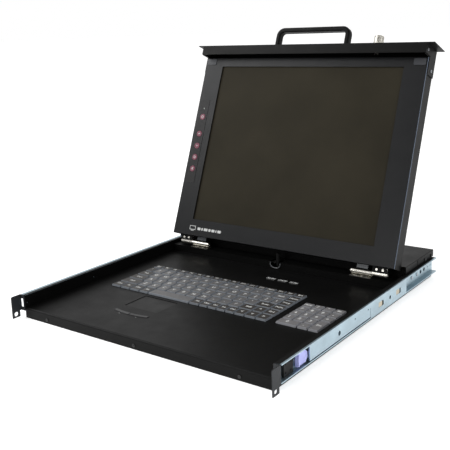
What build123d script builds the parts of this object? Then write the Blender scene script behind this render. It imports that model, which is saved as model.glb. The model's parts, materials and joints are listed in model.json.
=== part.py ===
from build123d import *
import os

# Rack console drawer: folding 17 inch display, notebook keyboard, switch unit at the rear.
# Millimetres. X to the right, Y to the rear, Z up. The underside is at Z = 0.
# Inside the functions Y is counted from the front edge. The finished parts are moved so
# that the origin is the middle of the underside.
# The lid is drawn upright about its hinge axis: Z up along the lid, -Y out of the screen.

# ---- sheet metal and general fits ----
sheet = 1.2
clear = 0.3
moving_gap = 0.4
turning_fit = 0.05
past = 1.0
screw_d = 2.4
screw_head_d = 4.4
screw_head = 1.2
screw_reach = 2.0

# ---- drawer slides ----
slide_low = 9.4
slide_height = 22.4
slide_high = slide_low + slide_height
slide_middle = slide_low + slide_height / 2
slide_sheet = 1.5
slide_deep = 8.8
slide_start = 2.8

# ---- tray ----
tray_half = 208.0
tray_depth = 444.0
outer_half = tray_half + sheet
slide_reach = outer_half + slide_deep
slide_end = tray_depth - 2.0
wall_top = slide_high - 0.8
deck_top = 14.5
deck_flange = 10.0
front_bend = 2.5
well_depth = tray_depth - 127.5
shelf_top = slide_high - 5.8
box_start = tray_depth - 102.0
shelf_rear_margin = 4.0
front_screw_x = 163.0
front_screw_z = 5.0
front_head = 0.7
wall_rivet_ys = (4.6, 130.7)

# ---- rear box ----
skirt_low = slide_high + 1.2
box_top = skirt_low + 10.4
cover_half = outer_half + 2.8
skirt_slot_y = tray_depth - 61.0
skirt_slot_w = 1.6
skirt_screw_z = skirt_low + 3.0
skirt_screw_ys = (tray_depth - 32.0, tray_depth - 8.0)

# ---- holes and rivets of the slides ----
web_hole_d = 6.0
web_hole_ys = (tray_depth - 46.0, tray_depth - 33.0)
web_small_d = 2.6
web_small_ys = (tray_depth - 19.0, tray_depth - 9.0)
rivet_d = 5.0
rivet_proud = 1.0
rivet_ys = (40.0, 205.0, tray_depth - 79.0, tray_depth - 60.0)

# ---- latch members nested in the slides ----
latch_slit_y = 216.0
latch_slit_w = 0.8
latch_slit_high = slide_middle + 4.0
latch_end = 330.0
latch_step = 1.7
latch_round_d = 6.0
latch_round_y = 132.2
latch_small_d = 2.4
latch_small_up = 4.2
latch_small_ys = (173.2, 209.5)
latch_foot = 4.0
latch_hole_d = 5.0
latch_hole_y = 276.0
latch_slot_len = 15.0
latch_slot_w = 7.0
latch_slot_ys = (248.0, 303.0)
latch_pad_in = 0.3
latch_pad_thick = 2.6
latch_pad_short = 4.0
latch_pad_corner = 1.5

# ---- guide blocks in the slide fronts ----
guide_start = 13.0
guide_len = 19.0
guide_thick = 3.4
guide_dot_in = 4.0
guide_dot_d = 2.6
guide_dot_proud = 0.8

# ---- release tabs ----
release_start = 39.0
release_len = 22.0
release_height = 15.0
release_thick = 3.2
release_strip_thick = 1.6
release_point = 4.4
release_strip_h = 5.0
release_strip_end = 240.0
release_gap = 1.4
release_room = 0.8
latch_front = release_start + release_len + release_room
grip_deep = 2.0
grip_out = 2.0
grip_in = 1.0

# ---- front brackets ----
bracket_front = -15.2
bracket_thick = 1.2
bracket_above = 0.4
bracket_tab_low = 0.8
bracket_tab_rear = -2.4
bracket_corner = 2.0
bracket_hole_d = 6.4
bracket_hole_y = -9.0
bracket_hole_z = 5.8
bracket_window_end = 5.0
bracket_window_in = 2.0
bracket_window_out = 1.6

# ---- lid ----
lid_side_gap = 2.2
lid_half = tray_half - lid_side_gap
lid_lean = 21.9
hinge_y = box_start - 18.2
hinge_z = slide_high + 0.4
lid_low = 10.6
lid_high = hinge_y + 0.6
bezel_face = 12.8
bezel_thick = 2.0
lid_back = 10.5
lid_edge = 0.9
screen_w = 337.9
screen_h = 270.3
screen_low = 38.5
screen_gap = 0.4
screen_thick = 1.0
screen_margin = 2.0
module_w = screen_w + 20.6
module_h = screen_h + 26.2
module_thick = 12.0
lid_vents = 9
lid_vent_x = 150.0
lid_vent_w = 36.0
lid_vent_h = 2.4
lid_vent_low = 110.0
lid_vent_pitch = 9.0

# ---- boards in the lid ----
lid_board = 1.6
driver_x0, driver_x1, driver_z0, driver_z1 = -60.0, 80.0, 80.0, 200.0
driver_chip = 20.0
driver_chip_z0, driver_chip_z1 = 120.0, 150.0
driver_chip_thick = 2.0
inverter_x0, inverter_x1, inverter_z0, inverter_z1 = -165.0, -135.0, 60.0, 260.0
controls_w = 16.0
controls_in = 4.0
controls_board = 1.4
controls_post_d = 3.0
controls_post_low = 10.0
controls_post_high = 6.0

# ---- display controls ----
osd_x = -191.0
osd_strip_w = 17.5
osd_strip_low = 101.0
osd_strip_high = 248.0
osd_strip_thick = 0.4
osd_strip_corner = 1.5
osd_button_d = 10.5
osd_button_zs = (217.1, 186.8, 165.4, 145.0, 124.6)
osd_button_proud = 0.5
osd_button_edge = 0.4
osd_button_travel = 0.8
osd_stem_d = 3.0
osd_board_gap = 2.4
osd_lamp_z = 232.0
osd_lamp_d = 2.6
osd_lamp_proud = 0.2

# ---- front panel on the lid ----
panel_half = slide_reach
panel_high = lid_high + 17.0
panel_front = 28.7
panel_rear = 12.6
panel_lip = 15.8
panel_end_half = lid_half + sheet
panel_flange_low = panel_high - 43.4
panel_flange_in = 1.0
panel_screw_back = (0.0, panel_high - 35.4)
panel_screw_front = (-22.0, panel_high - 9.4)
panel_head = 0.6

# ---- handle and lock knob ----
handle_half = 64.6
handle_rise = 34.8
handle_w = 8.0
handle_deep = 12.0
handle_round = 2.6
handle_bend = 10.0
handle_n = 8.0
handle_screw_in = 9.0
handle_head_d = 6.0
handle_head = 2.0
knob_x = 118.6
knob_d = 15.0
knob_h = 15.5
knob_edge = 1.2
knob_collar_d = 11.0
knob_collar_h = 2.5
knob_shaft_d = 6.0
knob_shaft_below = 12.0
knob_flute_d = 1.1
knob_flutes = 28

# ---- bumpers on the bezel ----
bumper_inner = 184.0
bumper_outer = 203.0
bumper_low = lid_high - 12.8
bumper_high = lid_high - 2.4
bumper_proud = 0.9
bumper_corner = 1.5

# ---- hinges ----
shaft_d = 5.0
shaft_past = 1.0
shaft_edge = 0.5
hinge_inner = 134.0
hinge_middle = 168.0
hinge_outer = 192.0
barrel_d = shaft_d + 3.4
sleeve_d = shaft_d + 2.2
leaf_thick = 1.5
leaf_web = 2.0
leaf_screw_xs = (143.0, 154.0)
leaf_screw_y = hinge_y - barrel_d / 2 - 0.4
leaf_front = leaf_screw_y - 2.3
leaf_screw_past = 1.5
leaf_head_d = 4.0
strap_thick = 1.8
strap_foot_low = 12.2
strap_foot_high = 14.0
strap_up = 60.0
strap_inner = 142.0
strap_tab_outer = 160.0
strap_tab_front = -1.4
strap_tab_thick = 1.4
strap_tab_gap = 0.9
strap_cut_gap = 0.2
tab_low = 2.2
tab_thick = 1.2
tab_side_in = 0.5
tab_screw_xs = (175.5, 185.5)
tab_screw_up = 6.6
tab_screw_d = 3.6
tab_head = 0.7

# ---- keyboard ----
key_pitch_x = 18.75
key_pitch_y = 18.5
key_gap = 1.8
key_left = -169.0
key_front = 128.2
key_height = 2.8
key_bottom = 14.3
key_taper = 14.0
key_edge = 0.5
key_travel = 1.8
function_pitch_y = 14.0
function_keys = 17
keyboard_units = 15
keyboard_rows = 5
opening_margin = 1.0
board_rim = 4.0
board_top = key_bottom - key_travel - clear
board_thick = 2.4
numpad_left = key_left + keyboard_units * key_pitch_x + 11.75
numpad_front = 131.0
numpad_pitch_x = 16.0
numpad_pitch_y = 15.8
numpad_columns = 4
numpad_rows = 5

# ---- touchpad ----
pad_x0 = -92.0
pad_x1 = -32.0
pad_y0 = 79.0
pad_y1 = 122.0
pad_drop = 0.6
pad_rim = 4.0
pad_seat = 3.0
pad_rear = 1.5
pad_board_low = 9.9
pad_board_thick = 1.1
touch_front = 55.3
touch_deep = 5.0
touch_arc = 130.0
touch_split = 1.2
touch_edge = 0.5
touch_proud = 0.7
touch_travel = 0.6

# ---- lock lights ----
light_count = 3
light_x = 25.0
light_y = well_depth - 46.5
light_pitch = 20.5
light_w = 14.0
light_deep = 3.2
light_below = 2.0
light_proud = 0.3

# ---- rear ports ----
port_count = 9
port_pitch = 33.0
port_first_x = -178.0
port_z = 16.0
port_flange_w = 30.8
port_flange_h = 12.5
port_flange_thick = 1.0
port_body_deep = 12.0
port_body_in = 1.0
port_shell_w = 16.9
port_shell_h = 8.4
port_shell_out = 5.8
port_shell_round = 1.8
port_screw_pitch = 25.0
port_screw_d = 4.8
port_nut_out = 4.4
port_pin_d = 1.2
port_pin_deep = 5.0
port_pin_columns = 5
port_pin_pitch = 2.3
port_pin_row = 2.0
panel_slots = 12
panel_slot_pitch = 9.0
panel_slot_w = 2.4
panel_slot_h = 7.0

# ---- switch board ----
board_z = 7.0
board_sheet = 1.6
board_front = box_start + 10.0
board_rear_gap = 2.0
post_d = 5.0
post_ys = (box_start + 18.0, tray_depth - 19.0)
chip_xs = (-120.0, -40.0, 40.0)
chip_size = 20.0
chip_front = box_start + 33.0
chip_thick = 2.2
buffer_xs = (-160.0, -80.0, 0.0, 70.0)
buffer_w = 12.0
buffer_deep = 8.0
buffer_front = box_start + 63.0
buffer_thick = 1.6

# ---- power supply, inlet and rocker ----
supply_x0 = 130.0
supply_x1 = 200.0
supply_front = box_start + 8.0
supply_rear = tray_depth - 26.0
supply_top = box_top - 7.4
supply_slots = 7
supply_slot_first = 11.0
supply_slot_pitch = 8.0
supply_slot_w = 3.0
supply_slot_deep = 2.0
supply_slot_in = 8.0
inlet_x = 165.0
inlet_w = 50.0
inlet_h = 26.0
inlet_z = 22.0
inlet_deep = 22.0
inlet_rim = 2.0
socket_x = inlet_x - 9.0
socket_w = 24.0
socket_h = 16.4
socket_deep = 14.0
socket_corner = 4.0
pin_w = 2.0
pin_h = 4.0
pin_short = 2.0
pin_spots = ((-7.0, -2.0), (7.0, -2.0), (0.0, 2.0))
rocker_x = inlet_x + inlet_w / 2 - 9.0
rocker_y = tray_depth - 2.0
rocker_w = 12.0
rocker_h = 19.0
rocker_end = 0.6
rocker_back = 4.0
rocker_proud = 4.6
rocker_crest = 2.6
rocker_tilt = 8.0
rocker_pin_d = 2.4
rocker_pin_in = 1.6

# ---- display cable ----
cable_d = 6.5
cable_x = 3.5
cable_y = hinge_y + 1.7
cable_low = 3.0
cable_top = hinge_z + 6.1
cable_hole_gap = 1.5
notch_w = 20.0
notch_floor = shelf_top - 10.5
notch_rear = box_start - 10.0
notch_corner = 8.0

key_units_space = (1, 1, 1, 0.95, 4.1, 0.95, 0.8, 0.8, 0.8, 0.8, 0.9, 0.95, 0.95)
key_units_shift = (1.9, 1, 1, 1, 1, 1, 1, 1, 1, 1, 1, 1.2, 0.9, 1)
key_units_home = (1.6, 1, 1, 1, 1, 1, 1, 1, 1, 1, 1, 1, 1.4, 1)
key_units_upper = (1.3, 1, 1, 1, 1, 1, 1, 1, 1, 1, 1, 1, 1, 0.7, 1)
key_units_number = (0.8, 1, 1, 1, 1, 1, 1, 1, 1, 1, 1, 1, 1, 1.2, 1)
numpad_units = ((2, 1), (1, 1, 1), (1, 1, 1, 1), (1, 1, 1, 1), (1, 1, 1, 1))
tall_key_rows = 2


def block(x0, x1, y0, y1, z0, z1):
    return Pos((x0 + x1) / 2, (y0 + y1) / 2, (z0 + z1) / 2) * Box(x1 - x0, y1 - y0, z1 - z0)


def rod_x(x0, x1, y, z, d):
    return Pos((x0 + x1) / 2, y, z) * Rot(0, 90, 0) * Cylinder(d / 2, x1 - x0)


def rod_y(x, y0, y1, z, d):
    return Pos(x, (y0 + y1) / 2, z) * Rot(90, 0, 0) * Cylinder(d / 2, y1 - y0)


def rod_z(x, y, z0, z1, d):
    return Pos(x, y, (z0 + z1) / 2) * Cylinder(d / 2, z1 - z0)


def group(solids):
    return Compound(children=list(solids))


def one(shape):
    return shape.solids()[0]


def mirror_x(shape):
    return shape.mirror(Plane.YZ)


def both_sides(solid):
    return group([solid, mirror_x(solid)])


def leaned(shape):
    return Pos(0, hinge_y, hinge_z) * Rot(-lid_lean, 0, 0) * shape


# ---------------------------------------------------------------- chassis
def base_pan():
    panel_y = tray_depth - sheet
    pan = block(-outer_half, outer_half, sheet, panel_y, 0, sheet)
    for side in (-1, 1):
        x0, x1 = sorted((side * tray_half, side * outer_half))
        pan += block(x0, x1, sheet, panel_y, 0, wall_top)
        pan += block(x0, x1, box_start + sheet, panel_y, 0, box_top - sheet)
        for y in wall_rivet_ys:
            pan -= rod_x(x0, x1, y, slide_middle, screw_d)
    for x in (port_xs()[0], port_xs()[-1]):
        for y in post_ys:
            pan += rod_z(x, y, sheet, board_z, post_d)
    return one(pan)


def deck_openings():
    high = deck_top + past
    cuts = []
    for left, right, front, rear in (keyboard_opening(), numpad_opening(), (pad_x0, pad_x1, pad_y0, pad_y1)):
        cuts.append(block(left, right, front, rear, 0, high))
    for x0, x1 in touch_spans():
        cuts.append(touch_bar(x0, x1, moving_gap, 0, high))
    for x in light_xs():
        cuts.append(block(x - light_w / 2, x + light_w / 2,
                          light_y - light_deep / 2, light_y + light_deep / 2, 0, high))
    return cuts


def keyboard_deck():
    half = tray_half - clear
    low = deck_top - sheet
    rear = box_start + shelf_rear_margin
    deck = block(-half, half, 0, well_depth + sheet, low, deck_top)
    deck += block(-half, half, 0, sheet, 0, deck_top)
    for side in (-1, 1):
        x0, x1 = sorted((side * (half - sheet), side * half))
        deck += block(x0, x1, 0, well_depth, deck_top - deck_flange, deck_top)
    deck += block(-half, half, well_depth, well_depth + sheet, low, shelf_top)
    deck += block(-half, half, well_depth, rear, shelf_top - sheet, shelf_top)
    bend = deck.edges().filter_by(Axis.X).group_by(Axis.Y)[0].sort_by(Axis.Z)[-1]
    deck = fillet(bend, front_bend)
    for cut in deck_openings():
        deck -= cut
    notch = block(cable_x - notch_w / 2, cable_x + notch_w / 2, well_depth - past, notch_rear,
                  notch_floor, shelf_top + past)
    deck -= fillet(notch.edges().filter_by(Axis.Y).group_by(Axis.Z)[0], notch_corner)
    for x in (-front_screw_x, 0, front_screw_x):
        deck -= rod_y(x, -past, sheet + past, front_screw_z, screw_d)
    for x, y in leaf_screw_spots():
        deck -= rod_z(x, y, low, shelf_top + past, screw_d)
        deck -= rod_z(-x, y, low, shelf_top + past, screw_d)
    return one(deck)


def rear_cover():
    top = box_top - sheet
    cover = block(-cover_half, cover_half, box_start, tray_depth, top, box_top)
    cover += block(-cover_half, cover_half, box_start, box_start + sheet, shelf_top, box_top)
    skirt_x = cover_half - sheet
    for side in (-1, 1):
        x0, x1 = sorted((side * skirt_x, side * cover_half))
        cover += block(x0, x1, box_start, tray_depth, skirt_low, box_top)
        cover -= block(x0 - sheet, x1 + sheet, skirt_slot_y, skirt_slot_y + skirt_slot_w,
                       skirt_low - past, top)
        corner_x0, corner_x1 = sorted((side * (tray_half - clear), side * (cover_half + past)))
        cover -= block(corner_x0, corner_x1, box_start - past, box_start + sheet + clear, 0, skirt_low)
        for y in skirt_screw_ys:
            cover -= rod_x(x0, x1, y, skirt_screw_z, screw_d)
    edges = cover.edges().filter_by(Axis.Y).group_by(Axis.Z)[-1]
    return one(fillet(edges, lid_edge))


def port_xs():
    return [port_first_x + i * port_pitch for i in range(port_count)]


def rear_panel():
    y0 = tray_depth - sheet
    cut_y0 = y0 - past
    cut_y1 = tray_depth + past
    panel = block(-outer_half, outer_half, y0, tray_depth, 0, box_top - sheet)
    for x in port_xs():
        w = port_shell_w / 2
        h = port_shell_h / 2
        panel -= block(x - w, x + w, cut_y0, cut_y1, port_z - h, port_z + h)
        for dx in (-port_screw_pitch / 2, port_screw_pitch / 2):
            panel -= rod_y(x + dx, cut_y0, cut_y1, port_z, port_screw_d)
    panel -= block(inlet_x - inlet_w / 2, inlet_x + inlet_w / 2, cut_y0, cut_y1,
                   inlet_z - inlet_h / 2, inlet_z + inlet_h / 2)
    slot_low = port_z + port_flange_h
    for i in range(panel_slots):
        x = port_first_x + i * panel_slot_pitch
        panel -= block(x, x + panel_slot_w, cut_y0, cut_y1, slot_low, slot_low + panel_slot_h)
    return one(panel)


def kvm_board():
    x0 = port_first_x - port_pitch / 2
    x1 = port_xs()[-1] + port_pitch / 2
    top = board_z + board_sheet
    board = block(x0, x1, board_front, tray_depth - sheet - board_rear_gap, board_z, top)
    for x in chip_xs:
        board += block(x - chip_size / 2, x + chip_size / 2, chip_front, chip_front + chip_size,
                       top, top + chip_thick)
    for x in buffer_xs:
        board += block(x - buffer_w / 2, x + buffer_w / 2, buffer_front, buffer_front + buffer_deep,
                       top, top + buffer_thick)
    return one(board)


def vga_port():
    inner = tray_depth - sheet
    face = tray_depth + port_shell_out
    high = port_z + port_shell_h / 2
    body = block(-port_flange_w / 2, port_flange_w / 2, inner - port_flange_thick, inner,
                 port_z - port_flange_h / 2, port_z + port_flange_h / 2)
    half = port_shell_w / 2 - port_body_in
    body += block(-half, half, inner - port_body_deep, inner - port_flange_thick,
                  board_z + board_sheet, high)
    shell = block(-port_shell_w / 2, port_shell_w / 2, inner, face, port_z - port_shell_h / 2, high)
    body += fillet(shell.edges().filter_by(Axis.Y), port_shell_round)
    for row in (-1, 0, 1):
        for column in range(port_pin_columns):
            x = (column - port_pin_columns // 2 + row / 4) * port_pin_pitch
            body -= rod_y(x, face - port_pin_deep, face + past, port_z + row * port_pin_row, port_pin_d)
    return one(body)


def port_nut():
    ring = rod_y(0, tray_depth - sheet, tray_depth, port_z, port_screw_d)
    outline = RegularPolygon(port_screw_d / 2, 6)
    head = Pos(0, tray_depth, port_z) * Rot(-90, 0, 0) * extrude(outline, port_nut_out)
    nut = ring + head
    nut -= rod_y(0, tray_depth, tray_depth + port_nut_out + past, port_z, port_screw_d / 2)
    return one(nut)


def kvm_ports():
    master = vga_port()
    return group([Pos(x, 0, 0) * master for x in port_xs()])


def port_nuts():
    master = port_nut()
    spots = [x + dx for x in port_xs() for dx in (-port_screw_pitch / 2, port_screw_pitch / 2)]
    return group([Pos(x, 0, 0) * master for x in spots])


def rocker_pins(d, end):
    half = rocker_w / 2 + end
    return rod_x(rocker_x - half, rocker_x + half, rocker_y, inlet_z, d)


def power_inlet():
    x0 = inlet_x - inlet_w / 2
    x1 = inlet_x + inlet_w / 2
    z0 = inlet_z - inlet_h / 2
    z1 = inlet_z + inlet_h / 2
    floor = tray_depth - socket_deep
    out = tray_depth + inlet_rim
    body = block(x0, x1, tray_depth - inlet_deep, tray_depth, z0, z1)
    body += block(x0 - inlet_rim, x1 + inlet_rim, tray_depth, out, z0 - inlet_rim, z1 + inlet_rim)
    socket = block(socket_x - socket_w / 2, socket_x + socket_w / 2, floor, out + past,
                   inlet_z - socket_h / 2, inlet_z + socket_h / 2)
    body -= chamfer(socket.edges().filter_by(Axis.Y).group_by(Axis.Z)[-1], socket_corner)
    for dx, dz in pin_spots:
        x = socket_x + dx
        z = inlet_z + dz
        body += block(x - pin_w / 2, x + pin_w / 2, floor, tray_depth - pin_short,
                      z - pin_h / 2, z + pin_h / 2)
    half_w = rocker_w / 2 + moving_gap
    half_h = rocker_h / 2 + moving_gap
    body -= block(rocker_x - half_w, rocker_x + half_w, floor, out + past,
                  inlet_z - half_h, inlet_z + half_h)
    body -= rocker_pins(rocker_pin_d + 2 * turning_fit, rocker_pin_in + clear)
    return one(body)


def power_rocker():
    half_h = rocker_h / 2 - rocker_end
    at_axis = Pos(0, rocker_y, inlet_z)
    body = block(-rocker_w / 2, rocker_w / 2, -rocker_back, rocker_proud, -half_h, half_h)
    face = block(-rocker_w, rocker_w, rocker_crest, rocker_proud + rocker_h, -rocker_h, rocker_h)
    upper = Rot(rocker_tilt, 0, 0) * face
    lower = Rot(-rocker_tilt, 0, 0) * face
    rocker = body - (upper & lower)
    tilted = at_axis * Rot(rocker_tilt, 0, 0) * Pos(rocker_x, 0, 0) * rocker
    return one(tilted + rocker_pins(rocker_pin_d, rocker_pin_in))


def power_supply():
    body = block(supply_x0, supply_x1, supply_front, supply_rear, sheet, supply_top)
    for i in range(supply_slots):
        x = supply_x0 + supply_slot_first + i * supply_slot_pitch
        body -= block(x - supply_slot_w / 2, x + supply_slot_w / 2, supply_front + supply_slot_in,
                      supply_rear - supply_slot_in, supply_top - supply_slot_deep, supply_top + past)
    return one(body)


# ---------------------------------------------------------------- slides
def slide_channel():
    inner = outer_half + slide_sheet
    web = block(outer_half, inner, slide_start, slide_end, slide_low, slide_high)
    web += block(outer_half, slide_reach, slide_start, slide_end, slide_low, slide_low + slide_sheet)
    web += block(outer_half, slide_reach, slide_start, slide_end, slide_high - slide_sheet, slide_high)
    for y in web_hole_ys:
        web -= rod_x(outer_half - past, inner + past, y, slide_middle, web_hole_d)
    for y in web_small_ys:
        web -= rod_x(outer_half - past, inner + past, y, slide_middle, web_small_d)
    return one(web)


def latch_member():
    low = slide_low + slide_sheet
    high = slide_high - slide_sheet
    x1 = slide_reach
    x0 = x1 - slide_sheet
    foot = outer_half + slide_sheet + latch_foot
    front_low = low + latch_step
    body = block(x0, x1, latch_slit_y, latch_end, low, high)
    body += block(foot, x1, latch_slit_y, latch_end, low, low + sheet)
    body += block(foot, x1, latch_front, latch_end, high - sheet, high)
    body += block(x0, x1, latch_front, latch_slit_y, front_low, high)
    body += block(foot, x1, latch_front, latch_slit_y, front_low, front_low + sheet)
    body -= block(foot - past, x1 + past, latch_slit_y, latch_slit_y + latch_slit_w,
                  low - past, latch_slit_high)
    body -= rod_x(x0 - past, x1 + past, latch_round_y, slide_middle, latch_round_d)
    for y in latch_small_ys:
        body -= rod_x(x0 - past, x1 + past, y, slide_middle + latch_small_up, latch_small_d)
    body -= rod_x(x0 - past, x1 + past, latch_hole_y, slide_middle, latch_hole_d)
    for y in latch_slot_ys:
        body -= block(x0 - past, x1 + past, y - latch_slot_len / 2, y + latch_slot_len / 2,
                      slide_middle - latch_slot_w / 2, slide_middle + latch_slot_w / 2)
    return one(body)


def latch_pad(y):
    x1 = slide_reach - latch_pad_in
    half = latch_slot_len / 2
    pad = block(x1 - latch_pad_thick, x1, y - half, y + half - latch_pad_short,
                slide_middle - latch_slot_w / 2, slide_middle + latch_slot_w / 2)
    return one(chamfer(pad.edges().filter_by(Axis.X), latch_pad_corner))


def latch_pads():
    right = [latch_pad(y) for y in latch_slot_ys]
    return group(right + [mirror_x(pad) for pad in right])


def guide_block():
    x0 = outer_half + slide_sheet
    x1 = x0 + guide_thick
    low = slide_low + slide_sheet
    high = slide_high - slide_sheet
    end = guide_start + guide_len
    body = block(x0, x1, guide_start, end, low, high)
    for y in (guide_start + guide_dot_in, end - guide_dot_in):
        for z in (low + guide_dot_in, high - guide_dot_in):
            body += rod_x(x1, x1 + guide_dot_proud, y, z, guide_dot_d)
    return one(body)


def release_tab():
    x0 = outer_half + slide_sheet + release_gap
    x1 = x0 + release_thick
    low = slide_middle - release_height / 2
    high = slide_middle + release_height / 2
    end = release_start + release_len
    tab = block(x0, x1, release_start, end, low, high)
    tab = chamfer(tab.edges().filter_by(Axis.X).group_by(Axis.Y)[-1], release_point)
    tab += block(x1, x1 + grip_out, release_start, release_start + grip_deep, low + grip_in, high - grip_in)
    tab += block(x0, x0 + release_strip_thick, end - past, release_strip_end,
                 slide_middle - release_strip_h / 2, slide_middle + release_strip_h / 2)
    return one(tab)


def front_bracket():
    x1 = slide_reach
    x0 = x1 - bracket_thick
    high = slide_high + bracket_above
    plate = block(x0, x1, bracket_front, 0, slide_low, high)
    plate += block(x0, x1, bracket_front, bracket_tab_rear, bracket_tab_low, slide_low)
    top_front = plate.edges().filter_by(Axis.X).group_by(Axis.Z)[-1].sort_by(Axis.Y)[0]
    plate = fillet(top_front, bracket_corner)
    plate -= rod_x(x0 - past, x1 + past, bracket_hole_y, bracket_hole_z, bracket_hole_d)
    web = block(outer_half, x1, 0, sheet, slide_low, high)
    web -= block(outer_half + bracket_window_in, x1 - bracket_window_out, -past, sheet + past,
                 slide_low + bracket_window_end, slide_high - bracket_window_end)
    web += block(outer_half, outer_half + bracket_thick, sheet, slide_start, slide_low, slide_high)
    return one(plate + web)


def slide_rivets():
    x0 = outer_half + slide_sheet
    right = [rod_x(x0, x0 + rivet_proud, y, slide_middle, rivet_d) for y in rivet_ys]
    return group(right + [mirror_x(rivet) for rivet in right])


# ---------------------------------------------------------------- keyboard
def keyboard_opening():
    left = key_left + key_gap / 2 - opening_margin
    right = key_left + keyboard_units * key_pitch_x - key_gap / 2 + opening_margin
    front = key_front + key_gap / 2 - opening_margin
    rear = key_front + keyboard_rows * key_pitch_y + function_pitch_y - key_gap / 2 + opening_margin
    return left, right, front, rear


def numpad_opening():
    left = numpad_left + key_gap / 2 - opening_margin
    right = numpad_left + numpad_columns * numpad_pitch_x - key_gap / 2 + opening_margin
    front = numpad_front + key_gap / 2 - opening_margin
    rear = numpad_front + numpad_rows * numpad_pitch_y - key_gap / 2 + opening_margin
    return left, right, front, rear


def key_board(opening):
    left, right, front, rear = opening
    rim = board_rim
    floor = board_top - board_thick
    body = block(left - rim, right + rim, front - rim, rear + rim, floor, deck_top - sheet)
    return one(body - block(left, right, front, rear, board_top, deck_top))


def keycap(width, depth):
    cap = extrude(Rectangle(width, depth), key_height, taper=key_taper)
    return one(fillet(cap.faces().sort_by(Axis.Z)[-1].edges(), key_edge))


def key_row(units, left, front, pitch_x, pitch_y):
    caps = {}
    keys = []
    x = left
    for unit in units:
        if unit not in caps:
            caps[unit] = keycap(unit * pitch_x - key_gap, pitch_y - key_gap)
        keys.append(Pos(x + unit * pitch_x / 2, front + pitch_y / 2, key_bottom) * caps[unit])
        x += unit * pitch_x
    return group(keys)


def main_row(index, units):
    return key_row(units, key_left, key_front + index * key_pitch_y, key_pitch_x, key_pitch_y)


def function_row():
    pitch = keyboard_units * key_pitch_x / function_keys
    front = key_front + keyboard_rows * key_pitch_y
    return key_row([1] * function_keys, key_left, front, pitch, function_pitch_y)


def numpad_row(index):
    front = numpad_front + index * numpad_pitch_y
    return key_row(numpad_units[index], numpad_left, front, numpad_pitch_x, numpad_pitch_y)


def numpad_front_row():
    x = numpad_left + (numpad_columns - 1 / 2) * numpad_pitch_x
    y = numpad_front + tall_key_rows * numpad_pitch_y / 2
    tall = keycap(numpad_pitch_x - key_gap, tall_key_rows * numpad_pitch_y - key_gap)
    return group(numpad_row(0).solids() + [Pos(x, y, key_bottom) * tall])


# ---------------------------------------------------------------- touchpad
def touch_spans():
    middle = (pad_x0 + pad_x1) / 2
    return (pad_x0, middle - touch_split / 2), (middle + touch_split / 2, pad_x1)


def touch_bar(x0, x1, gap, low, high):
    centre_x = (pad_x0 + pad_x1) / 2
    centre_y = touch_front + touch_arc
    ring = rod_z(centre_x, centre_y, low, high, 2 * (touch_arc + gap))
    ring -= rod_z(centre_x, centre_y, low - past, high + past, 2 * (touch_arc - touch_deep - gap))
    return one(ring & block(x0 - gap, x1 + gap, touch_front - touch_deep, pad_y0, low, high))


def touchpad():
    top = pad_board_low + pad_board_thick
    rear = pad_y1 + pad_rear
    pad = block(pad_x0 - pad_rim, pad_x1 + pad_rim, touch_front - pad_rim, rear, pad_board_low, top)
    pad += block(pad_x0 - pad_seat, pad_x1 + pad_seat, pad_y0 - pad_seat, rear,
                 top, deck_top - sheet)
    pad += block(pad_x0, pad_x1, pad_y0, pad_y1, top, deck_top - pad_drop)
    return one(pad)


def touch_button(span):
    x0, x1 = span
    low = pad_board_low + pad_board_thick + touch_travel + clear
    body = touch_bar(x0, x1, 0, low, deck_top + touch_proud)
    return one(fillet(body.faces().sort_by(Axis.Z)[-1].edges(), touch_edge))


def light_xs():
    return [light_x + i * light_pitch for i in range(light_count)]


def lock_lights():
    low = deck_top - sheet - light_below
    lens = block(-light_w / 2, light_w / 2, -light_deep / 2, light_deep / 2, low, deck_top + light_proud)
    return group([Pos(x, light_y, 0) * lens for x in light_xs()])


# ---------------------------------------------------------------- hinges
def leaf_screw_spots():
    return [(x, leaf_screw_y) for x in leaf_screw_xs]


def hinge_leaf():
    z0 = shelf_top
    z1 = shelf_top + leaf_thick
    rear = hinge_y + barrel_d / 2
    leaf = block(hinge_inner, hinge_middle, leaf_front, rear, z0, z1)
    leaf += block(hinge_inner, hinge_middle, rear - leaf_web, rear, z1, hinge_z)
    leaf += rod_x(hinge_inner, hinge_middle, hinge_y, hinge_z, barrel_d)
    leaf -= rod_x(hinge_inner - past, hinge_middle + past, hinge_y, hinge_z, shaft_d)
    for x, y in leaf_screw_spots():
        leaf -= rod_z(x, y, z0 - past, z1 + past, screw_d)
    return one(leaf)


def hinge_shaft():
    shaft = rod_x(hinge_inner - shaft_past, hinge_outer + shaft_past, hinge_y, hinge_z, shaft_d)
    return one(chamfer(shaft.edges(), shaft_edge))


def hinge_strap():
    x0 = hinge_middle + clear
    x1 = hinge_outer
    front = -sleeve_d / 2
    back = lid_back - sheet
    strap = rod_x(x0, x1, 0, 0, sleeve_d)
    strap += block(x0, x1, front, front + strap_thick, 0, strap_foot_high)
    strap -= rod_x(x0 - past, x1 + past, 0, 0, shaft_d + 2 * turning_fit)
    strap += block(x0, x1, front, back, strap_foot_low, strap_foot_high)
    strap += block(strap_inner, x1, back - strap_thick, back, strap_foot_low, strap_up)
    strap += block(strap_inner, strap_tab_outer, strap_tab_front, back, strap_foot_low, strap_foot_high)
    strap += block(strap_inner, strap_tab_outer, strap_tab_front, strap_tab_front + strap_tab_thick,
                   barrel_d / 2 + strap_tab_gap, strap_foot_high)
    for x in tab_screw_xs:
        strap += rod_y(x, front - tab_thick, front, tab_screw_up, screw_d)
        strap += rod_y(x, front - tab_thick - tab_head, front - tab_thick, tab_screw_up, tab_screw_d)
    return one(strap)


def hinge_straps():
    right = hinge_strap()
    return group([leaned(right), leaned(mirror_x(right))])


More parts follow.
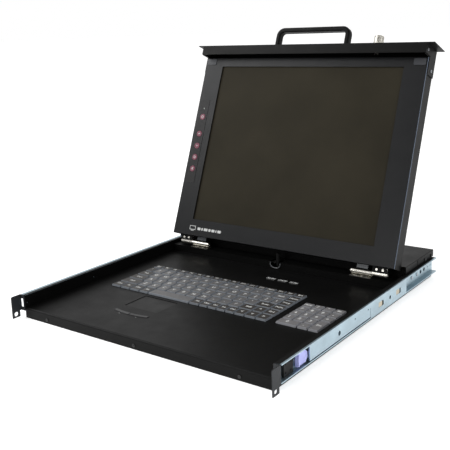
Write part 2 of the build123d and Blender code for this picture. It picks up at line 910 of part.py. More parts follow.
def hinge_screws():
    top = shelf_top + leaf_thick
    screws = []
    for x, y in leaf_screw_spots():
        screw = rod_z(x, y, shelf_top - sheet - leaf_screw_past, top, screw_d)
        screw += rod_z(x, y, top, top + screw_head, leaf_head_d)
        screws.append(one(screw))
        screws.append(mirror_x(one(screw)))
    return group(screws)


def case_screws():
    screws = []
    for x in (-front_screw_x, 0, front_screw_x):
        body = rod_y(x, 0, sheet + screw_reach, front_screw_z, screw_d)
        screws.append(one(body + rod_y(x, -front_head, 0, front_screw_z, screw_head_d)))
    for y in skirt_screw_ys:
        body = rod_x(outer_half, cover_half, y, skirt_screw_z, screw_d)
        body += rod_x(cover_half, cover_half + screw_head, y, skirt_screw_z, screw_head_d)
        screws.append(one(body))
        screws.append(mirror_x(one(body)))
    return group(screws)


def display_cable():
    return one(rod_z(cable_x, cable_y, sheet + cable_low, cable_top, cable_d))


# ---------------------------------------------------------------- lid
def hinge_tab():
    front = -sleeve_d / 2 - tab_thick
    tab = block(hinge_middle + clear + tab_side_in, hinge_outer - tab_side_in, front, front + tab_thick,
                tab_low, lid_low + sheet)
    for x in tab_screw_xs:
        tab -= rod_y(x, front - past, front + tab_thick + past, tab_screw_up, screw_d)
    return tab


def strap_slots():
    low = lid_low - past
    high = lid_low + sheet + past
    front = -sleeve_d / 2
    main = block(hinge_middle, hinge_outer + clear, front, front + strap_thick + strap_cut_gap, low, high)
    small = block(strap_inner - clear, strap_tab_outer + clear, strap_tab_front - strap_cut_gap,
                  strap_tab_front + strap_tab_thick + strap_cut_gap, low, high)
    return [main, small]


def lid_cover():
    inner = lid_half - sheet
    front = -bezel_face + bezel_thick
    floor = lid_low + sheet
    body = block(-lid_half, lid_half, front, lid_back, lid_low, lid_high)
    body = fillet(body.faces().sort_by(Axis.Y)[-1].edges(), lid_edge)
    body -= block(-inner, inner, front - past, lid_back - sheet, floor, lid_high - sheet)
    for slot in strap_slots():
        body -= slot
        body -= mirror_x(slot)
    body += hinge_tab()
    body += mirror_x(hinge_tab())
    body -= rod_z(cable_x, cable_y - hinge_y, lid_low - past, floor + past, cable_d + cable_hole_gap)
    for x in (-lid_vent_x, lid_vent_x):
        for i in range(lid_vents):
            z = lid_vent_low + i * lid_vent_pitch
            body -= block(x - lid_vent_w / 2, x + lid_vent_w / 2, lid_back - sheet - past, lid_back + past,
                          z, z + lid_vent_h)
    return one(body)


def lid_bezel():
    front = -bezel_face
    body = block(-lid_half, lid_half, front, front + bezel_thick, lid_low, lid_high)
    body = fillet(body.faces().sort_by(Axis.Y)[0].edges(), lid_edge)
    w = screen_w / 2
    window = block(-w, w, front - past, 0, screen_low, screen_low + screen_h)
    body -= window
    for z in osd_button_zs:
        body -= rod_y(osd_x, front - past, 0, z, osd_button_d + 2 * clear)
    body -= rod_y(osd_x, front - past, 0, osd_lamp_z, osd_lamp_d)
    return one(body)


def lcd_screen():
    y0 = -bezel_face + bezel_thick + screen_gap
    w = screen_w / 2 + screen_margin
    return one(block(-w, w, y0, y0 + screen_thick,
                     screen_low - screen_margin, screen_low + screen_h + screen_margin))


def lcd_module():
    y0 = -bezel_face + bezel_thick + screen_gap + screen_thick
    middle = screen_low + screen_h / 2
    body = block(-module_w / 2, module_w / 2, y0, y0 + module_thick,
                 middle - module_h / 2, middle + module_h / 2)
    return one(body)


def lid_boards():
    back = -bezel_face + bezel_thick + screen_gap + screen_thick + module_thick
    top = back + lid_board
    driver = block(driver_x0, driver_x1, back, top, driver_z0, driver_z1)
    driver += block(-driver_chip, driver_chip, top, top + driver_chip_thick, driver_chip_z0, driver_chip_z1)
    inverter = block(inverter_x0, inverter_x1, back, top, inverter_z0, inverter_z1)
    inner = -bezel_face + bezel_thick
    board_y = inner + osd_board_gap
    controls = block(osd_x - controls_w / 2, osd_x + controls_w / 2, board_y, board_y + controls_board,
                     osd_strip_low + controls_in, osd_strip_high - controls_in)
    for z in (osd_strip_low + controls_post_low, osd_strip_high - controls_post_high):
        controls += rod_y(osd_x, inner, board_y, z, controls_post_d)
    return group([one(driver), one(inverter), one(controls)])


def osd_strip():
    front = -bezel_face
    half = osd_strip_w / 2
    strip = block(osd_x - half, osd_x + half, front - osd_strip_thick, front, osd_strip_low, osd_strip_high)
    strip = fillet(strip.edges().filter_by(Axis.Y), osd_strip_corner)
    for z in osd_button_zs:
        strip -= rod_y(osd_x, front - past, front + past, z, osd_button_d + 2 * clear)
    strip -= rod_y(osd_x, front - past, front + past, osd_lamp_z, osd_lamp_d)
    return one(strip)


def osd_lamp():
    inner = -bezel_face + bezel_thick
    lamp = rod_y(osd_x, -bezel_face - osd_strip_thick - osd_lamp_proud, inner + osd_board_gap,
                 osd_lamp_z, osd_lamp_d)
    return one(lamp)


def osd_button(index):
    z = osd_button_zs[index]
    face = -bezel_face - osd_strip_thick - osd_button_proud
    inner = -bezel_face + bezel_thick
    cap = rod_y(osd_x, face, inner, z, osd_button_d)
    cap = fillet(cap.edges().group_by(Axis.Y)[0], osd_button_edge)
    cap += rod_y(osd_x, inner, inner + osd_board_gap - osd_button_travel - clear, z, osd_stem_d)
    return one(cap)


def lid_panel():
    top = panel_high
    low = panel_high - sheet
    body = block(-panel_half, panel_half, -panel_front, panel_rear, low, top)
    body += block(-panel_end_half, panel_end_half, -panel_front, -panel_front + sheet, top - panel_lip, top)
    body += block(-lid_half, lid_half, lid_back - sheet, lid_back, lid_high, low)
    for side in (-1, 1):
        x0, x1 = sorted((side * lid_half, side * panel_end_half))
        seat_x0, seat_x1 = sorted((side * (lid_half - sheet), side * lid_half))
        body += block(x0, x1, -panel_front, lid_back, top - panel_lip, top)
        body += block(x0, x1, -bezel_face + panel_flange_in, lid_back, panel_flange_low, top)
        body += block(seat_x0, seat_x1, -panel_front + sheet, lid_back, lid_high, low)
        for y, z in (panel_screw_back, panel_screw_front):
            body -= rod_x(min(x0, seat_x0) - past, max(x1, seat_x1) + past, y, z, screw_d)
    body -= rod_z(knob_x, -handle_n, low - past, top + past, knob_shaft_d + 2 * turning_fit)
    for x in (-handle_half, handle_half):
        body -= rod_z(x, -handle_n, low - past, top + past, screw_d)
    return one(body)


def handle():
    top = panel_high + handle_rise - handle_w / 2
    corners = [(-handle_half, -handle_n, panel_high), (-handle_half, -handle_n, top),
               (handle_half, -handle_n, top), (handle_half, -handle_n, panel_high)]
    path = FilletPolyline(*corners, radius=handle_bend)
    section = Plane(origin=path @ 0, z_dir=path % 0) * RectangleRounded(handle_w, handle_deep, handle_round)
    bar = sweep(section, path=path)
    for x in (-handle_half, handle_half):
        bar -= rod_z(x, -handle_n, panel_high - past, panel_high + handle_screw_in, screw_d)
    return one(bar)


def lock_knob():
    low = panel_high + knob_collar_h
    high = low + knob_h
    knob = rod_z(knob_x, -handle_n, low, high, knob_d)
    knob = chamfer(knob.edges().group_by(Axis.Z)[-1], knob_edge)
    for place in PolarLocations(knob_d / 2, knob_flutes):
        knob -= Pos(knob_x, -handle_n, 0) * place * rod_z(0, 0, low - past, high + past, knob_flute_d)
    knob += rod_z(knob_x, -handle_n, panel_high + clear, low, knob_collar_d)
    knob += rod_z(knob_x, -handle_n, panel_high - knob_shaft_below, low, knob_shaft_d)
    return one(knob)


def lid_bumpers():
    front = -bezel_face
    pad = block(bumper_inner, bumper_outer, front - bumper_proud, front, bumper_low, bumper_high)
    return both_sides(one(fillet(pad.edges().filter_by(Axis.Y), bumper_corner)))


def lid_screws():
    screws = []
    for (y, z), inner in ((panel_screw_back, lid_half), (panel_screw_front, lid_half - sheet)):
        screw = rod_x(inner, panel_end_half, y, z, screw_d)
        screw += rod_x(panel_end_half, panel_end_half + panel_head, y, z, screw_head_d)
        screws.append(one(screw))
        screws.append(mirror_x(one(screw)))
    low = panel_high - sheet
    for x in (-handle_half, handle_half):
        body = rod_z(x, -handle_n, low, panel_high + handle_screw_in, screw_d)
        screws.append(one(body + rod_z(x, -handle_n, low - handle_head, low, handle_head_d)))
    return group(screws)


def parts():
    made = {
        "base_pan": base_pan(),
        "keyboard_deck": keyboard_deck(),
        "rear_cover": rear_cover(),
        "rear_panel": rear_panel(),
        "kvm_board": kvm_board(),
        "kvm_ports": kvm_ports(),
        "port_nuts": port_nuts(),
        "power_inlet": power_inlet(),
        "power_rocker": power_rocker(),
        "power_supply": power_supply(),
        "keyboard_board": key_board(keyboard_opening()),
        "key_row_space": main_row(0, key_units_space),
        "key_row_shift": main_row(1, key_units_shift),
        "key_row_home": main_row(2, key_units_home),
        "key_row_upper": main_row(3, key_units_upper),
        "key_row_number": main_row(4, key_units_number),
        "key_row_function": function_row(),
        "numpad_board": key_board(numpad_opening()),
        "numpad_row_1": numpad_front_row(),
        "touchpad": touchpad(),
        "touch_button_left": touch_button(touch_spans()[0]),
        "touch_button_right": touch_button(touch_spans()[1]),
        "lock_lights": lock_lights(),
        "slide_right": slide_channel(),
        "slide_left": mirror_x(slide_channel()),
        "latch_members": both_sides(latch_member()),
        "latch_pads": latch_pads(),
        "guide_blocks": both_sides(guide_block()),
        "release_tab_right": release_tab(),
        "release_tab_left": mirror_x(release_tab()),
        "front_bracket_right": front_bracket(),
        "front_bracket_left": mirror_x(front_bracket()),
        "slide_rivets": slide_rivets(),
        "hinge_leaves": both_sides(hinge_leaf()),
        "hinge_shafts": both_sides(hinge_shaft()),
        "hinge_screws": hinge_screws(),
        "case_screws": case_screws(),
        "display_cable": display_cable(),
        "hinge_straps": hinge_straps(),
        "lid_cover": leaned(lid_cover()),
        "lid_bezel": leaned(lid_bezel()),
        "lcd_screen": leaned(lcd_screen()),
        "lcd_module": leaned(lcd_module()),
        "lid_boards": leaned(lid_boards()),
        "osd_strip": leaned(osd_strip()),
        "osd_lamp": leaned(osd_lamp()),
        "lid_panel": leaned(lid_panel()),
        "handle": leaned(handle()),
        "lock_knob": leaned(lock_knob()),
        "lid_bumpers": leaned(lid_bumpers()),
        "lid_screws": leaned(lid_screws()),
    }
    for index in range(1, numpad_rows):
        made["numpad_row_" + str(index + 1)] = numpad_row(index)
    for index in range(len(osd_button_zs)):
        made["osd_button_" + str(index + 1)] = leaned(osd_button(index))
    return made


os.makedirs("parts", exist_ok=True)
for name, shape in parts().items():
    export_step(Pos(0, -tray_depth / 2, 0) * shape, "parts/" + name + ".step")
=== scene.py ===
import bpy
import bmesh
import math
import json
from mathutils import Vector, Matrix


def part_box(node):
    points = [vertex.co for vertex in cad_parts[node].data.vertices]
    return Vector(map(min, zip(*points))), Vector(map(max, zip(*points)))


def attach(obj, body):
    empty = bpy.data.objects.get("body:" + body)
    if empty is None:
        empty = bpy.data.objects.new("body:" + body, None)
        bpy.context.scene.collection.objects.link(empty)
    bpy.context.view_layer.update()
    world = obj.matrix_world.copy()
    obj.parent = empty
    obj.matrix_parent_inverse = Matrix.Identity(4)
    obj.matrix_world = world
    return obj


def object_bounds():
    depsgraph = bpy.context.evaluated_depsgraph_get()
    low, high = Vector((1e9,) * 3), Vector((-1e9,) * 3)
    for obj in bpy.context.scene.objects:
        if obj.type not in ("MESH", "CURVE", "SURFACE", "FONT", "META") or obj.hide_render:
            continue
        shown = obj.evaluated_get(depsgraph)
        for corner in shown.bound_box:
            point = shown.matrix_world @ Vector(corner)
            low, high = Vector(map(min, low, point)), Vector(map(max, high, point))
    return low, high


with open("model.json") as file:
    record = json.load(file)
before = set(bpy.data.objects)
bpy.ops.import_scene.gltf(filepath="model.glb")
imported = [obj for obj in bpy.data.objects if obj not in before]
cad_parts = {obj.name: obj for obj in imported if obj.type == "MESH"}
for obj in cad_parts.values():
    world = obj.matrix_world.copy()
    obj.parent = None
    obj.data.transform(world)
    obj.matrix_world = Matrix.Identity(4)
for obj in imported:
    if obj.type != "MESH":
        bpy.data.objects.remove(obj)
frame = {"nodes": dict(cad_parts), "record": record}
lo0, hi0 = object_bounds()
MM = 0.001
PORTS = 9
NODES = frame["nodes"]
JOINTS = {j["name"]: j for j in frame["record"]["behaviour"]["joints"]}

# ---------------------------------------------------------------- lid frame
HINGE = Vector(JOINTS["lid_hinge"]["pos_m"])
UP = Vector(JOINTS["lock_knob_turn"]["axis"]).normalized()
OUT = Vector((0, -UP.z, UP.y))


def lid_place(x, u, n):
    """Matrix that puts a drawing in the XY plane on the lid: x across, y up the lid, z out of the screen."""
    m = Matrix(((1, 0, 0), (0, UP.y, OUT.y), (0, UP.z, OUT.z))).to_4x4()
    m.translation = HINGE + Vector((x * MM, 0, 0)) + UP * (u * MM) + OUT * (n * MM)
    return m


def lid_coords(p):
    d = Vector(p) - HINGE
    return d.x / MM, d.dot(UP) / MM, d.dot(OUT) / MM


# ---------------------------------------------------------------- node helpers
class Mat:
    """A node material with the few steps that every finish here uses."""

    def __init__(self, name):
        self.mat = bpy.data.materials.new(name)
        self.mat.use_nodes = True
        self.nt = self.mat.node_tree
        self.bsdf = self.nt.nodes["Principled BSDF"]
        self.tc = self.nt.nodes.new("ShaderNodeTexCoord")

    def link(self, out, inp):
        self.nt.links.new(out, inp)

    def noise(self, scale, detail=4.0, rough=0.55, stretch=None):
        n = self.nt.nodes.new("ShaderNodeTexNoise")
        n.inputs["Scale"].default_value = scale
        n.inputs["Detail"].default_value = detail
        n.inputs["Roughness"].default_value = rough
        src = self.tc.outputs["Object"]
        if stretch:
            mp = self.nt.nodes.new("ShaderNodeMapping")
            mp.inputs["Scale"].default_value = stretch
            self.link(src, mp.inputs["Vector"])
            src = mp.outputs["Vector"]
        self.link(src, n.inputs["Vector"])
        return n.outputs["Fac"]

    def ramp(self, src, stops, constant=False):
        r = self.nt.nodes.new("ShaderNodeValToRGB")
        if constant:
            r.color_ramp.interpolation = "CONSTANT"
        els = r.color_ramp.elements
        els[0].position, els[0].color = stops[0]
        els[1].position, els[1].color = stops[-1]
        for pos, col in stops[1:-1]:
            e = els.new(pos)
            e.color = col
        self.link(src, r.inputs["Fac"])
        return r.outputs["Color"]

    def math(self, op, a, b=None, c=None):
        n = self.nt.nodes.new("ShaderNodeMath")
        n.operation = op
        for i, v in enumerate((a, b, c)):
            if v is None:
                continue
            if isinstance(v, (int, float)):
                n.inputs[i].default_value = v
            else:
                self.link(v, n.inputs[i])
        return n.outputs[0]

    def split(self, which="Object"):
        s = self.nt.nodes.new("ShaderNodeSeparateXYZ")
        self.link(self.tc.outputs[which], s.inputs[0])
        return s.outputs

    def mix(self, fac, a, b):
        m = self.nt.nodes.new("ShaderNodeMix")
        m.data_type = "RGBA"
        self.link(fac, m.inputs["Factor"])
        for v, i in ((a, 6), (b, 7)):
            if isinstance(v, tuple):
                m.inputs[i].default_value = v
            else:
                self.link(v, m.inputs[i])
        return m.outputs[2]

    def bump(self, src, strength, distance):
        b = self.nt.nodes.new("ShaderNodeBump")
        b.inputs["Strength"].default_value = strength
        b.inputs["Distance"].default_value = distance
        self.link(src, b.inputs["Height"])
        self.link(b.outputs["Normal"], self.bsdf.inputs["Normal"])

    def set(self, color=None, rough=None, metal=None, spec=None):
        for name, v in (("Base Color", color), ("Roughness", rough), ("Metallic", metal),
                        ("Specular IOR Level", spec)):
            if v is None:
                continue
            if isinstance(v, (int, float, tuple)):
                self.bsdf.inputs[name].default_value = v
            else:
                self.link(v, self.bsdf.inputs[name])


def rgba(c, k=1.0):
    return (c[0] * k, c[1] * k, c[2] * k, 1.0)


def grey(v):
    return (v, v, v, 1.0)


def coated(name, col, rough=0.45, spread=0.10, grain=1200.0, depth=0.0001, strength=0.35,
           spec=0.5, scuff=0.0):
    """Powder coat or moulded plastic: fine grain, slow change in tone and sheen, faint rubbed marks."""
    m = Mat(name)
    slow = m.noise(9.0, 5.0)
    tone = m.ramp(slow, [(0.3, rgba(col, 0.84)), (0.7, rgba(col, 1.18))])
    if scuff:
        marks = m.ramp(m.noise(14.0, 8.0, 0.7, (1.0, 9.0, 1.0)), [(0.60, grey(0.0)), (0.76, grey(1.0))])
        amount = m.math("MULTIPLY", marks, scuff)
        tone = m.mix(amount, tone, rgba([min(1.0, v * 3.0 + 0.02) for v in col]))
    sheen = m.ramp(m.noise(40.0, 6.0), [(0.3, grey(rough - spread / 2)), (0.7, grey(rough + spread / 2))])
    m.set(color=tone, rough=sheen, spec=spec)
    m.bump(m.noise(grain, 3.0, 0.6), strength, depth)
    return m


def plated(name, col, rough, streak, axis, depth=0.00003, strength=0.25):
    """Plated metal: drawn lines along the part, cloudy zinc bloom, fine scratches."""
    m = Mat(name)
    lines = m.noise(6.0, 6.0, 0.65, axis)
    bloom = m.noise(28.0, 5.0)
    m.set(color=m.ramp(bloom, [(0.3, rgba(col, 0.84)), (0.72, rgba(col, 1.06))]),
          rough=m.ramp(lines, [(0.3, grey(max(0.05, rough - streak))), (0.7, grey(rough + streak))]),
          metal=1.0)
    m.bump(lines, strength, depth)
    return m


BEZEL_LOOK = ((0.0040, 0.0044, 0.0052), 0.36, 0.06, 1700.0, 0.0001, 0.35, 0.20, 0.05)

MATS = {}
MATS["black_steel"] = coated("black_steel", (0.0030, 0.0030, 0.0029), 0.42, 0.08, 1500.0,
                             0.00012, 0.4, 0.10, 0.08)
MATS["bezel_black"] = coated("bezel_black", *BEZEL_LOOK)
MATS["bright_nickel"] = plated("bright_nickel", (0.60, 0.58, 0.53), 0.26, 0.08, (3.0, 250.0, 250.0))
MATS["black_screws"] = plated("black_screws", (0.06, 0.06, 0.06), 0.38, 0.08, (60.0, 60.0, 60.0))
MATS["rivet_steel"] = plated("rivet_steel", (0.42, 0.45, 0.49), 0.32, 0.08, (60.0, 60.0, 60.0))
MATS["supply_metal"] = plated("supply_metal", (0.55, 0.56, 0.57), 0.42, 0.10, (3.0, 120.0, 120.0))
MATS["module_metal"] = plated("module_metal", (0.30, 0.30, 0.30), 0.45, 0.08, (3.0, 120.0, 120.0))
MATS["board_green"] = coated("board_green", (0.010, 0.085, 0.030), 0.35, grain=420.0)
MATS["black_plastic"] = coated("black_plastic", (0.008, 0.008, 0.008), 0.55, grain=1200.0, spec=0.2)
MATS["rocker_plastic"] = coated("rocker_plastic", (0.012, 0.012, 0.012), 0.25, grain=1500.0, strength=0.15)
MATS["pad_black"] = coated("pad_black", (0.0085, 0.0085, 0.0085), 0.46, grain=1900.0, spec=0.15)
MATS["touch_bar"] = coated("touch_bar", (0.030, 0.030, 0.031), 0.42, grain=1900.0, spec=0.3)
MATS["light_lens"] = coated("light_lens", (0.05, 0.05, 0.05), 0.3, grain=1200.0, strength=0.15)
MATS["lamp_lens"] = coated("lamp_lens", (0.09, 0.11, 0.09), 0.25, grain=1200.0, strength=0.1)
MATS["latch_beige"] = coated("latch_beige", (0.56, 0.50, 0.38), 0.45, grain=900.0)
MATS["cable_rubber"] = coated("cable_rubber", (0.004, 0.004, 0.004), 0.52, grain=900.0, spec=0.25)
MATS["lcd_matte"] = coated("lcd_matte", (0.0270, 0.0235, 0.0155), 0.52, 0.02, 2600.0, 0.00004, 0.2, 0.05)
MATS["osd_film"] = coated("osd_film", (0.010, 0.0095, 0.010), 0.42, grain=1900.0, spec=0.2)
MATS["bumper_rubber"] = coated("bumper_rubber", (0.020, 0.022, 0.027), 0.55, grain=900.0)
MATS["legend_white"] = coated("legend_white", (0.62, 0.63, 0.62), 0.5, grain=1500.0, strength=0.1)
MATS["bracket_grey"] = coated("bracket_grey", (0.019, 0.021, 0.024), 0.42, grain=1500.0, spec=0.3)
# near-black painted shade for the cross recesses in screw heads
MATS["painted_recess_shade"] = coated("painted_recess_shade", (0.004, 0.004, 0.004), 0.6, grain=900.0)


def magenta():
    """Satin push keys in dark magenta with a slow mottling."""
    m = Mat("osd_magenta")
    tone = m.ramp(m.noise(160.0, 4.0), [(0.3, (0.11, 0.016, 0.036, 1)), (0.7, (0.19, 0.034, 0.066, 1))])
    m.set(color=tone, rough=0.42, spec=0.4)
    m.bump(m.noise(1700.0, 2.0), 0.2, 0.00005)
    return m


def lilac():
    """Lilac moulding at the front of the release strip; behind the tab it is zinc-plated strip."""
    m = Mat("release_lilac")
    y = m.split()[1]
    tab_len = 0.0225
    back = m.math("GREATER_THAN", y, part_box("release_tab_right")[0].y + tab_len)
    tone = m.ramp(m.noise(60.0, 4.0), [(0.3, (0.40, 0.42, 0.82, 1)), (0.7, (0.50, 0.53, 0.95, 1))])
    m.set(color=m.mix(back, tone, (0.50, 0.60, 0.66, 1.0)), rough=0.34, metal=back)
    m.bump(m.noise(900.0, 3.0), 0.2, 0.00005)
    return m


def two_tone_strap():
    """Nickel sleeve, with the short tab beside it in dull painted grey."""
    m = Mat("strap_nickel")
    x = m.split()[0]
    sleeve_end = 0.1615
    inner = m.math("LESS_THAN", m.math("ABSOLUTE", x), sleeve_end)
    bloom = m.ramp(m.noise(30.0, 5.0), [(0.3, rgba((0.46, 0.45, 0.41))), (0.7, rgba((0.60, 0.58, 0.53)))])
    m.set(color=m.mix(inner, bloom, (0.060, 0.068, 0.078, 1.0)),
          rough=m.ramp(m.noise(6.0, 6.0, 0.6, (3.0, 250.0, 250.0)), [(0.3, grey(0.22)), (0.7, grey(0.40))]),
          metal=m.math("SUBTRACT", 1.0, inner))
    m.bump(m.noise(300.0, 4.0), 0.2, 0.00003)
    return m


def port_face():
    """Nickel shells with a blue moulded insert inside each opening."""
    m = Mat("port_metal")
    x, y, z = m.split()
    lo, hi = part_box("kvm_ports")
    flange_w = 0.0308
    insert_w, insert_h, insert_deep = 0.0144, 0.0064, 0.0052
    pitch = (hi.x - lo.x - flange_w) / (PORTS - 1)
    first = lo.x + flange_w / 2
    along = m.math("SUBTRACT", x, first - 1.5 * pitch)
    off = m.math("ABSOLUTE", m.math("SUBTRACT", m.math("MODULO", along, pitch), pitch / 2))
    rise = m.math("ABSOLUTE", m.math("SUBTRACT", z, (lo.z + hi.z) / 2))
    inside = m.math("MULTIPLY", m.math("LESS_THAN", off, insert_w / 2),
                    m.math("LESS_THAN", rise, insert_h / 2))
    face = m.math("MULTIPLY", inside, m.math("GREATER_THAN", y, hi.y - insert_deep))
    bloom = m.ramp(m.noise(30.0, 5.0), [(0.3, grey(0.50)), (0.7, grey(0.64))])
    blue = m.ramp(m.noise(90.0, 4.0), [(0.3, (0.010, 0.040, 0.22, 1)), (0.7, (0.015, 0.055, 0.30, 1))])
    m.set(color=m.mix(face, bloom, blue), rough=0.32, metal=m.math("SUBTRACT", 1.0, face))
    m.bump(m.noise(900.0, 3.0), 0.2, 0.00003)
    return m


def slide_zinc():
    """Blue-white zinc with the tray's black coat running over the top flange, up to its outer lip."""
    m = plated("zinc", (0.44, 0.555, 0.62), 0.42, 0.10, (250.0, 3.0, 250.0))
    x, _, z = m.split()
    nz = m.split("Normal")[2]
    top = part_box("slide_right")[1]
    lip_right, lip_left, skin = 0.0022, 0.0048, 0.0004
    inner = m.math("MULTIPLY", m.math("LESS_THAN", x, top.x - lip_right),
                   m.math("GREATER_THAN", x, lip_left - top.x))
    over = m.math("MULTIPLY", m.math("GREATER_THAN", nz, 0.8), m.math("GREATER_THAN", z, top.z - skin))
    coat = m.math("MULTIPLY", inner, over)
    base = m.bsdf.inputs["Base Color"]
    m.link(m.mix(coat, base.links[0].from_socket, grey(0.0045)), base)
    m.link(m.math("SUBTRACT", 1.0, coat), m.bsdf.inputs["Metallic"])
    m.link(m.math("SUBTRACT", 0.5, m.math("MULTIPLY", coat, 0.37)), m.bsdf.inputs["Specular IOR Level"])
    return m


def edged_bezel():
    """Black bezel whose rounded long edges facing +X carry a painted bluish highlight."""
    m = coated("bezel_painted_highlight", *BEZEL_LOOK)
    nx = m.split("Normal")[0]
    # painted highlight: faces turned partly towards +X are mixed towards a light bluish grey
    rise = m.ramp(nx, [(0.22, grey(0.0)), (0.40, grey(1.0)), (0.86, grey(1.0)), (0.95, grey(0.0))])
    base = m.bsdf.inputs["Base Color"]
    m.link(m.mix(m.math("MULTIPLY", rise, 0.9), base.links[0].from_socket, (0.16, 0.20, 0.27, 1.0)), base)
    return m


MATS["zinc"] = slide_zinc()
# bezel finish with a painted highlight on its +X edges
MATS["bezel_painted_highlight"] = edged_bezel()
MATS["osd_magenta"] = magenta()
MATS["release_lilac"] = lilac()
MATS["strap_nickel"] = two_tone_strap()
MATS["port_metal"] = port_face()


# ---------------------------------------------------------------- keys
def islands(obj):
    """Corner pairs of the separate solids in one node, from left to right."""
    me = obj.data
    parent = list(range(len(me.vertices)))

    def root(i):
        while parent[i] != i:
            parent[i] = parent[parent[i]]
            i = parent[i]
        return i

    seen = {}
    for v in me.vertices:
        key = (round(v.co.x, 6), round(v.co.y, 6), round(v.co.z, 6))
        if key in seen:
            parent[root(v.index)] = root(seen[key])
        seen[key] = v.index
    for e in me.edges:
        a, b = root(e.vertices[0]), root(e.vertices[1])
        if a != b:
            parent[a] = b
    groups = {}
    for v in me.vertices:
        groups.setdefault(root(v.index), []).append(v.co)
    boxes = []
    for pts in groups.values():
        a = Vector((min(p.x for p in pts), min(p.y for p in pts), min(p.z for p in pts)))
        b = Vector((max(p.x for p in pts), max(p.y for p in pts), max(p.z for p in pts)))
        boxes.append((a, b))
    return sorted(boxes, key=lambda c: c[0].x)


# Legends of each row and the tone of each key: d dark, - grey, n numeric pad.
ROWS = {
    "key_row_space": (["Ctrl", "Fn", "Opt", "Alt", "", "Alt", "Opt", "Ctrl", "Ins", "Del", "<", "v", ">"],
                      "dddd-dddddddd"),
    "key_row_shift": (["Shift"] + list("ZXCVBNM,./") + ["Shift", "^", "End"], "d----------ddd"),
    "key_row_home": (["Caps"] + list("ASDFGHJKL;'") + ["Enter", "PgDn"], "d-----------dd"),
    "key_row_upper": (["Tab"] + list("QWERTYUIOP[]\\") + ["PgUp"], "d-------------d"),
    "key_row_number": (list("`1234567890-=") + ["Back", "Home"], "d-------------d"),
    "key_row_function": (["Esc"] + ["F%d" % i for i in range(1, 13)] + ["Num", "Prt", "Scr", "Brk"],
                         "d" * 17),
    "numpad_row_1": (["0", ".", "Ent"], "nnn"),
    "numpad_row_2": (["1", "2", "3"], "nnn"),
    "numpad_row_3": (["4", "5", "6", "+"], "nnnn"),
    "numpad_row_4": (["7", "8", "9", "-"], "nnnn"),
    "numpad_row_5": (["Num", "/", "*", "Bk"], "nnnn"),
}
TONES = {"d": (0.044, 0.040, 0.037), "-": (0.128, 0.126, 0.128), "n": (0.185, 0.180, 0.184)}
KEY_SPAN = 0.4


def key_material(node, boxes, marks):
    """Key tops in their own tone for each key, with a painted pale bluish sheen on the sides."""
    m = Mat("key_grey_" + node)
    x = m.split()[0]
    nz = m.split("Normal")[2]
    across = m.math("DIVIDE", m.math("ADD", x, KEY_SPAN / 2), KEY_SPAN)
    stops = [(0.0, rgba(TONES[marks[0]]))]
    for i in range(1, len(boxes)):
        if marks[i] != marks[i - 1]:
            edge = (boxes[i - 1][1].x + boxes[i][0].x) / 2
            stops.append(((edge + KEY_SPAN / 2) / KEY_SPAN, rgba(TONES[marks[i]])))
    if len(stops) == 1:
        stops.append((1.0, stops[0][1]))
    tops = m.ramp(across, stops, constant=True)
    wear = m.ramp(m.noise(110.0, 5.0), [(0.3, grey(0.84)), (0.7, grey(1.0))])
    worn = m.nt.nodes.new("ShaderNodeMix")
    worn.data_type = "RGBA"
    worn.blend_type = "MULTIPLY"
    worn.inputs["Factor"].default_value = 1.0
    m.link(tops, worn.inputs[6])
    m.link(wear, worn.inputs[7])
    # painted sheen: faces that are not level tops are mixed towards a pale bluish grey
    side = m.ramp(nz, [(0.90, grey(1.0)), (0.99, grey(0.0))])
    painted_side_sheen = (0.25, 0.28, 0.32, 1.0) if marks[0] != "n" else (0.30, 0.31, 0.34, 1.0)
    amount = m.math("MULTIPLY", side, 0.6)
    m.set(color=m.mix(amount, worn.outputs[2], painted_side_sheen),
          rough=m.ramp(m.noise(60.0, 5.0), [(0.3, grey(0.40)), (0.7, grey(0.55))]), spec=0.35)
    m.bump(m.noise(1500.0, 3.0, 0.6), 0.3, 0.00006)
    return m


# ---------------------------------------------------------------- drawn marks
def drawing(name, body, mat, bm):
    me = bpy.data.meshes.new(name)
    bm.to_mesh(me)
    bm.free()
    o = bpy.data.objects.new(name, me)
    bpy.context.scene.collection.objects.link(o)
    o.data.materials.append(mat.mat)
    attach(o, body)
    return o


LETTERS = {}


def letters(text, bold, slant=0.0):
    """Flat letter outlines about their own middle, one unit of type size high."""
    key = (text, bold, slant)
    if key not in LETTERS:
        c = bpy.data.curves.new("type", "FONT")
        c.body = text
        c.align_x = "CENTER"
        c.align_y = "CENTER"
        c.offset = bold
        c.shear = slant
        c.resolution_u = 2
        o = bpy.data.objects.new("type", c)
        bpy.context.scene.collection.objects.link(o)
        dg = bpy.context.evaluated_depsgraph_get()
        me = bpy.data.meshes.new_from_object(o.evaluated_get(dg))
        bpy.data.objects.remove(o)
        bpy.data.curves.remove(c)
        LETTERS[key] = me
    return LETTERS[key]


def write(bm, text, place, size, bold=0.02, slant=0.0, wide=1.0):
    me = letters(text, bold, slant).copy()
    me.transform(place @ Matrix.Diagonal((size * wide, size, 1.0, 1.0)))
    bm.from_mesh(me)
    bpy.data.meshes.remove(me)


def ribbon(bm, pts, place, half):
    """Flat strip of even width along points in the drawing plane."""
    left, right = [], []
    for i, p in enumerate(pts):
        a = Vector(pts[max(i - 1, 0)])
        b = Vector(pts[min(i + 1, len(pts) - 1)])
        t = (b - a).normalized()
        n = Vector((-t.y, t.x)) * half
        left.append(bm.verts.new(place @ Vector((p[0] + n.x, p[1] + n.y, 0))))
        right.append(bm.verts.new(place @ Vector((p[0] - n.x, p[1] - n.y, 0))))
    for i in range(len(pts) - 1):
        bm.faces.new((right[i], right[i + 1], left[i + 1], left[i]))


